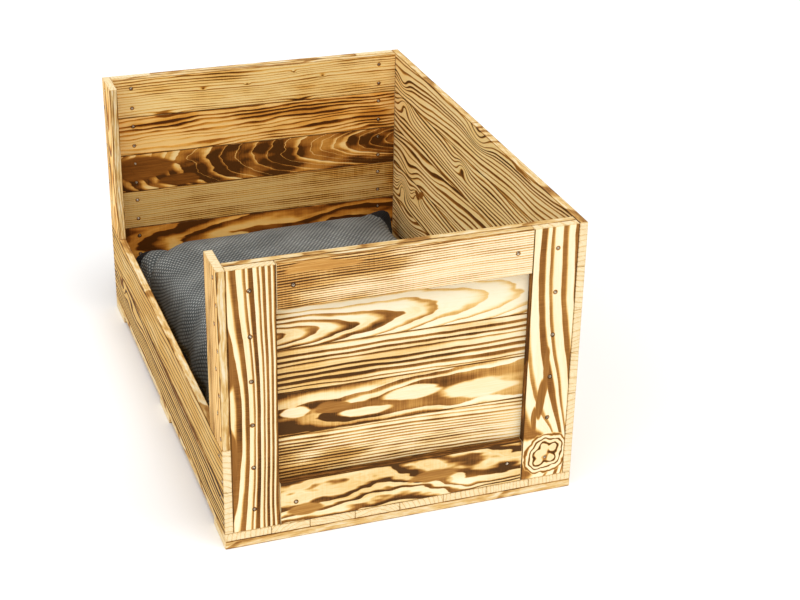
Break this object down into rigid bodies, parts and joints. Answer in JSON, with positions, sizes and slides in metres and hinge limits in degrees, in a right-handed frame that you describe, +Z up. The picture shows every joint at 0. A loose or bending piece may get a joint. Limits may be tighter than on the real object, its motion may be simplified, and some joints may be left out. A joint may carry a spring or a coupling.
{
  "type": "dog bed with frame",
  "caption": "Crate-style dog bed: a nailed frame of flamed pine boards with a low front, high back and ends, slatted floor on battens, and a loose padded cushion.",
  "frame": {"origin": "on the ground under the middle of the frame", "axes": "+X along the length, towards the right end seen from the front; +Y towards the back wall, so the low front faces -Y; +Z up"},
  "size_m": [0.8154, 0.5454, 0.446],
  "materials": {
    "flamed_pine": "satin",
    "steel_nails": "satin",
    "waffle_fabric": "matte",
    "base_fabric": "matte",
    "filling": "matte"
  },
  "bodies": {
    "frame": {"batten_left": "flamed_pine", "batten_middle": "flamed_pine", "batten_right": "flamed_pine", "floor_board_1": "flamed_pine", "floor_board_2": "flamed_pine", "floor_board_3": "flamed_pine", "floor_board_4": "flamed_pine", "floor_board_5": "flamed_pine", "floor_board_6": "flamed_pine", "floor_board_7": "flamed_pine", "floor_board_8": "flamed_pine", "front_board_lower": "flamed_pine", "front_board_upper": "flamed_pine", "front_post_left": "flamed_pine", "front_post_right": "flamed_pine", "back_board_1": "flamed_pine", "back_board_2": "flamed_pine", "back_board_3": "flamed_pine", "back_board_4": "flamed_pine", "back_board_5": "flamed_pine", "back_board_6": "flamed_pine", "left_end_board_1": "flamed_pine", "left_end_board_2": "flamed_pine", "left_end_board_3": "flamed_pine", "left_end_board_4": "flamed_pine", "left_end_board_5": "flamed_pine", "left_end_board_6": "flamed_pine", "left_stile_front": "flamed_pine", "left_stile_back": "flamed_pine", "left_rail_top": "flamed_pine", "left_rail_bottom": "flamed_pine", "right_end_board_1": "flamed_pine", "right_end_board_2": "flamed_pine", "right_end_board_3": "flamed_pine", "right_end_board_4": "flamed_pine", "right_end_board_5": "flamed_pine", "right_end_board_6": "flamed_pine", "right_stile_front": "flamed_pine", "right_stile_back": "flamed_pine", "right_rail_top": "flamed_pine", "right_rail_bottom": "flamed_pine", "floor_nails": "steel_nails", "front_wall_nails": "steel_nails", "back_wall_nails": "steel_nails", "left_panel_nails": "steel_nails", "right_panel_nails": "steel_nails"},
    "cushion": {"cushion_top_cover": "waffle_fabric", "cushion_base_cover": "base_fabric", "cushion_filling": "filling"}
  },
  "joints": [
    {"name": "cushion_lift", "type": "slide", "parent": "frame", "child": "cushion", "axis": [0, 0, 1], "range_m": [0, 0.5]}
  ]
}
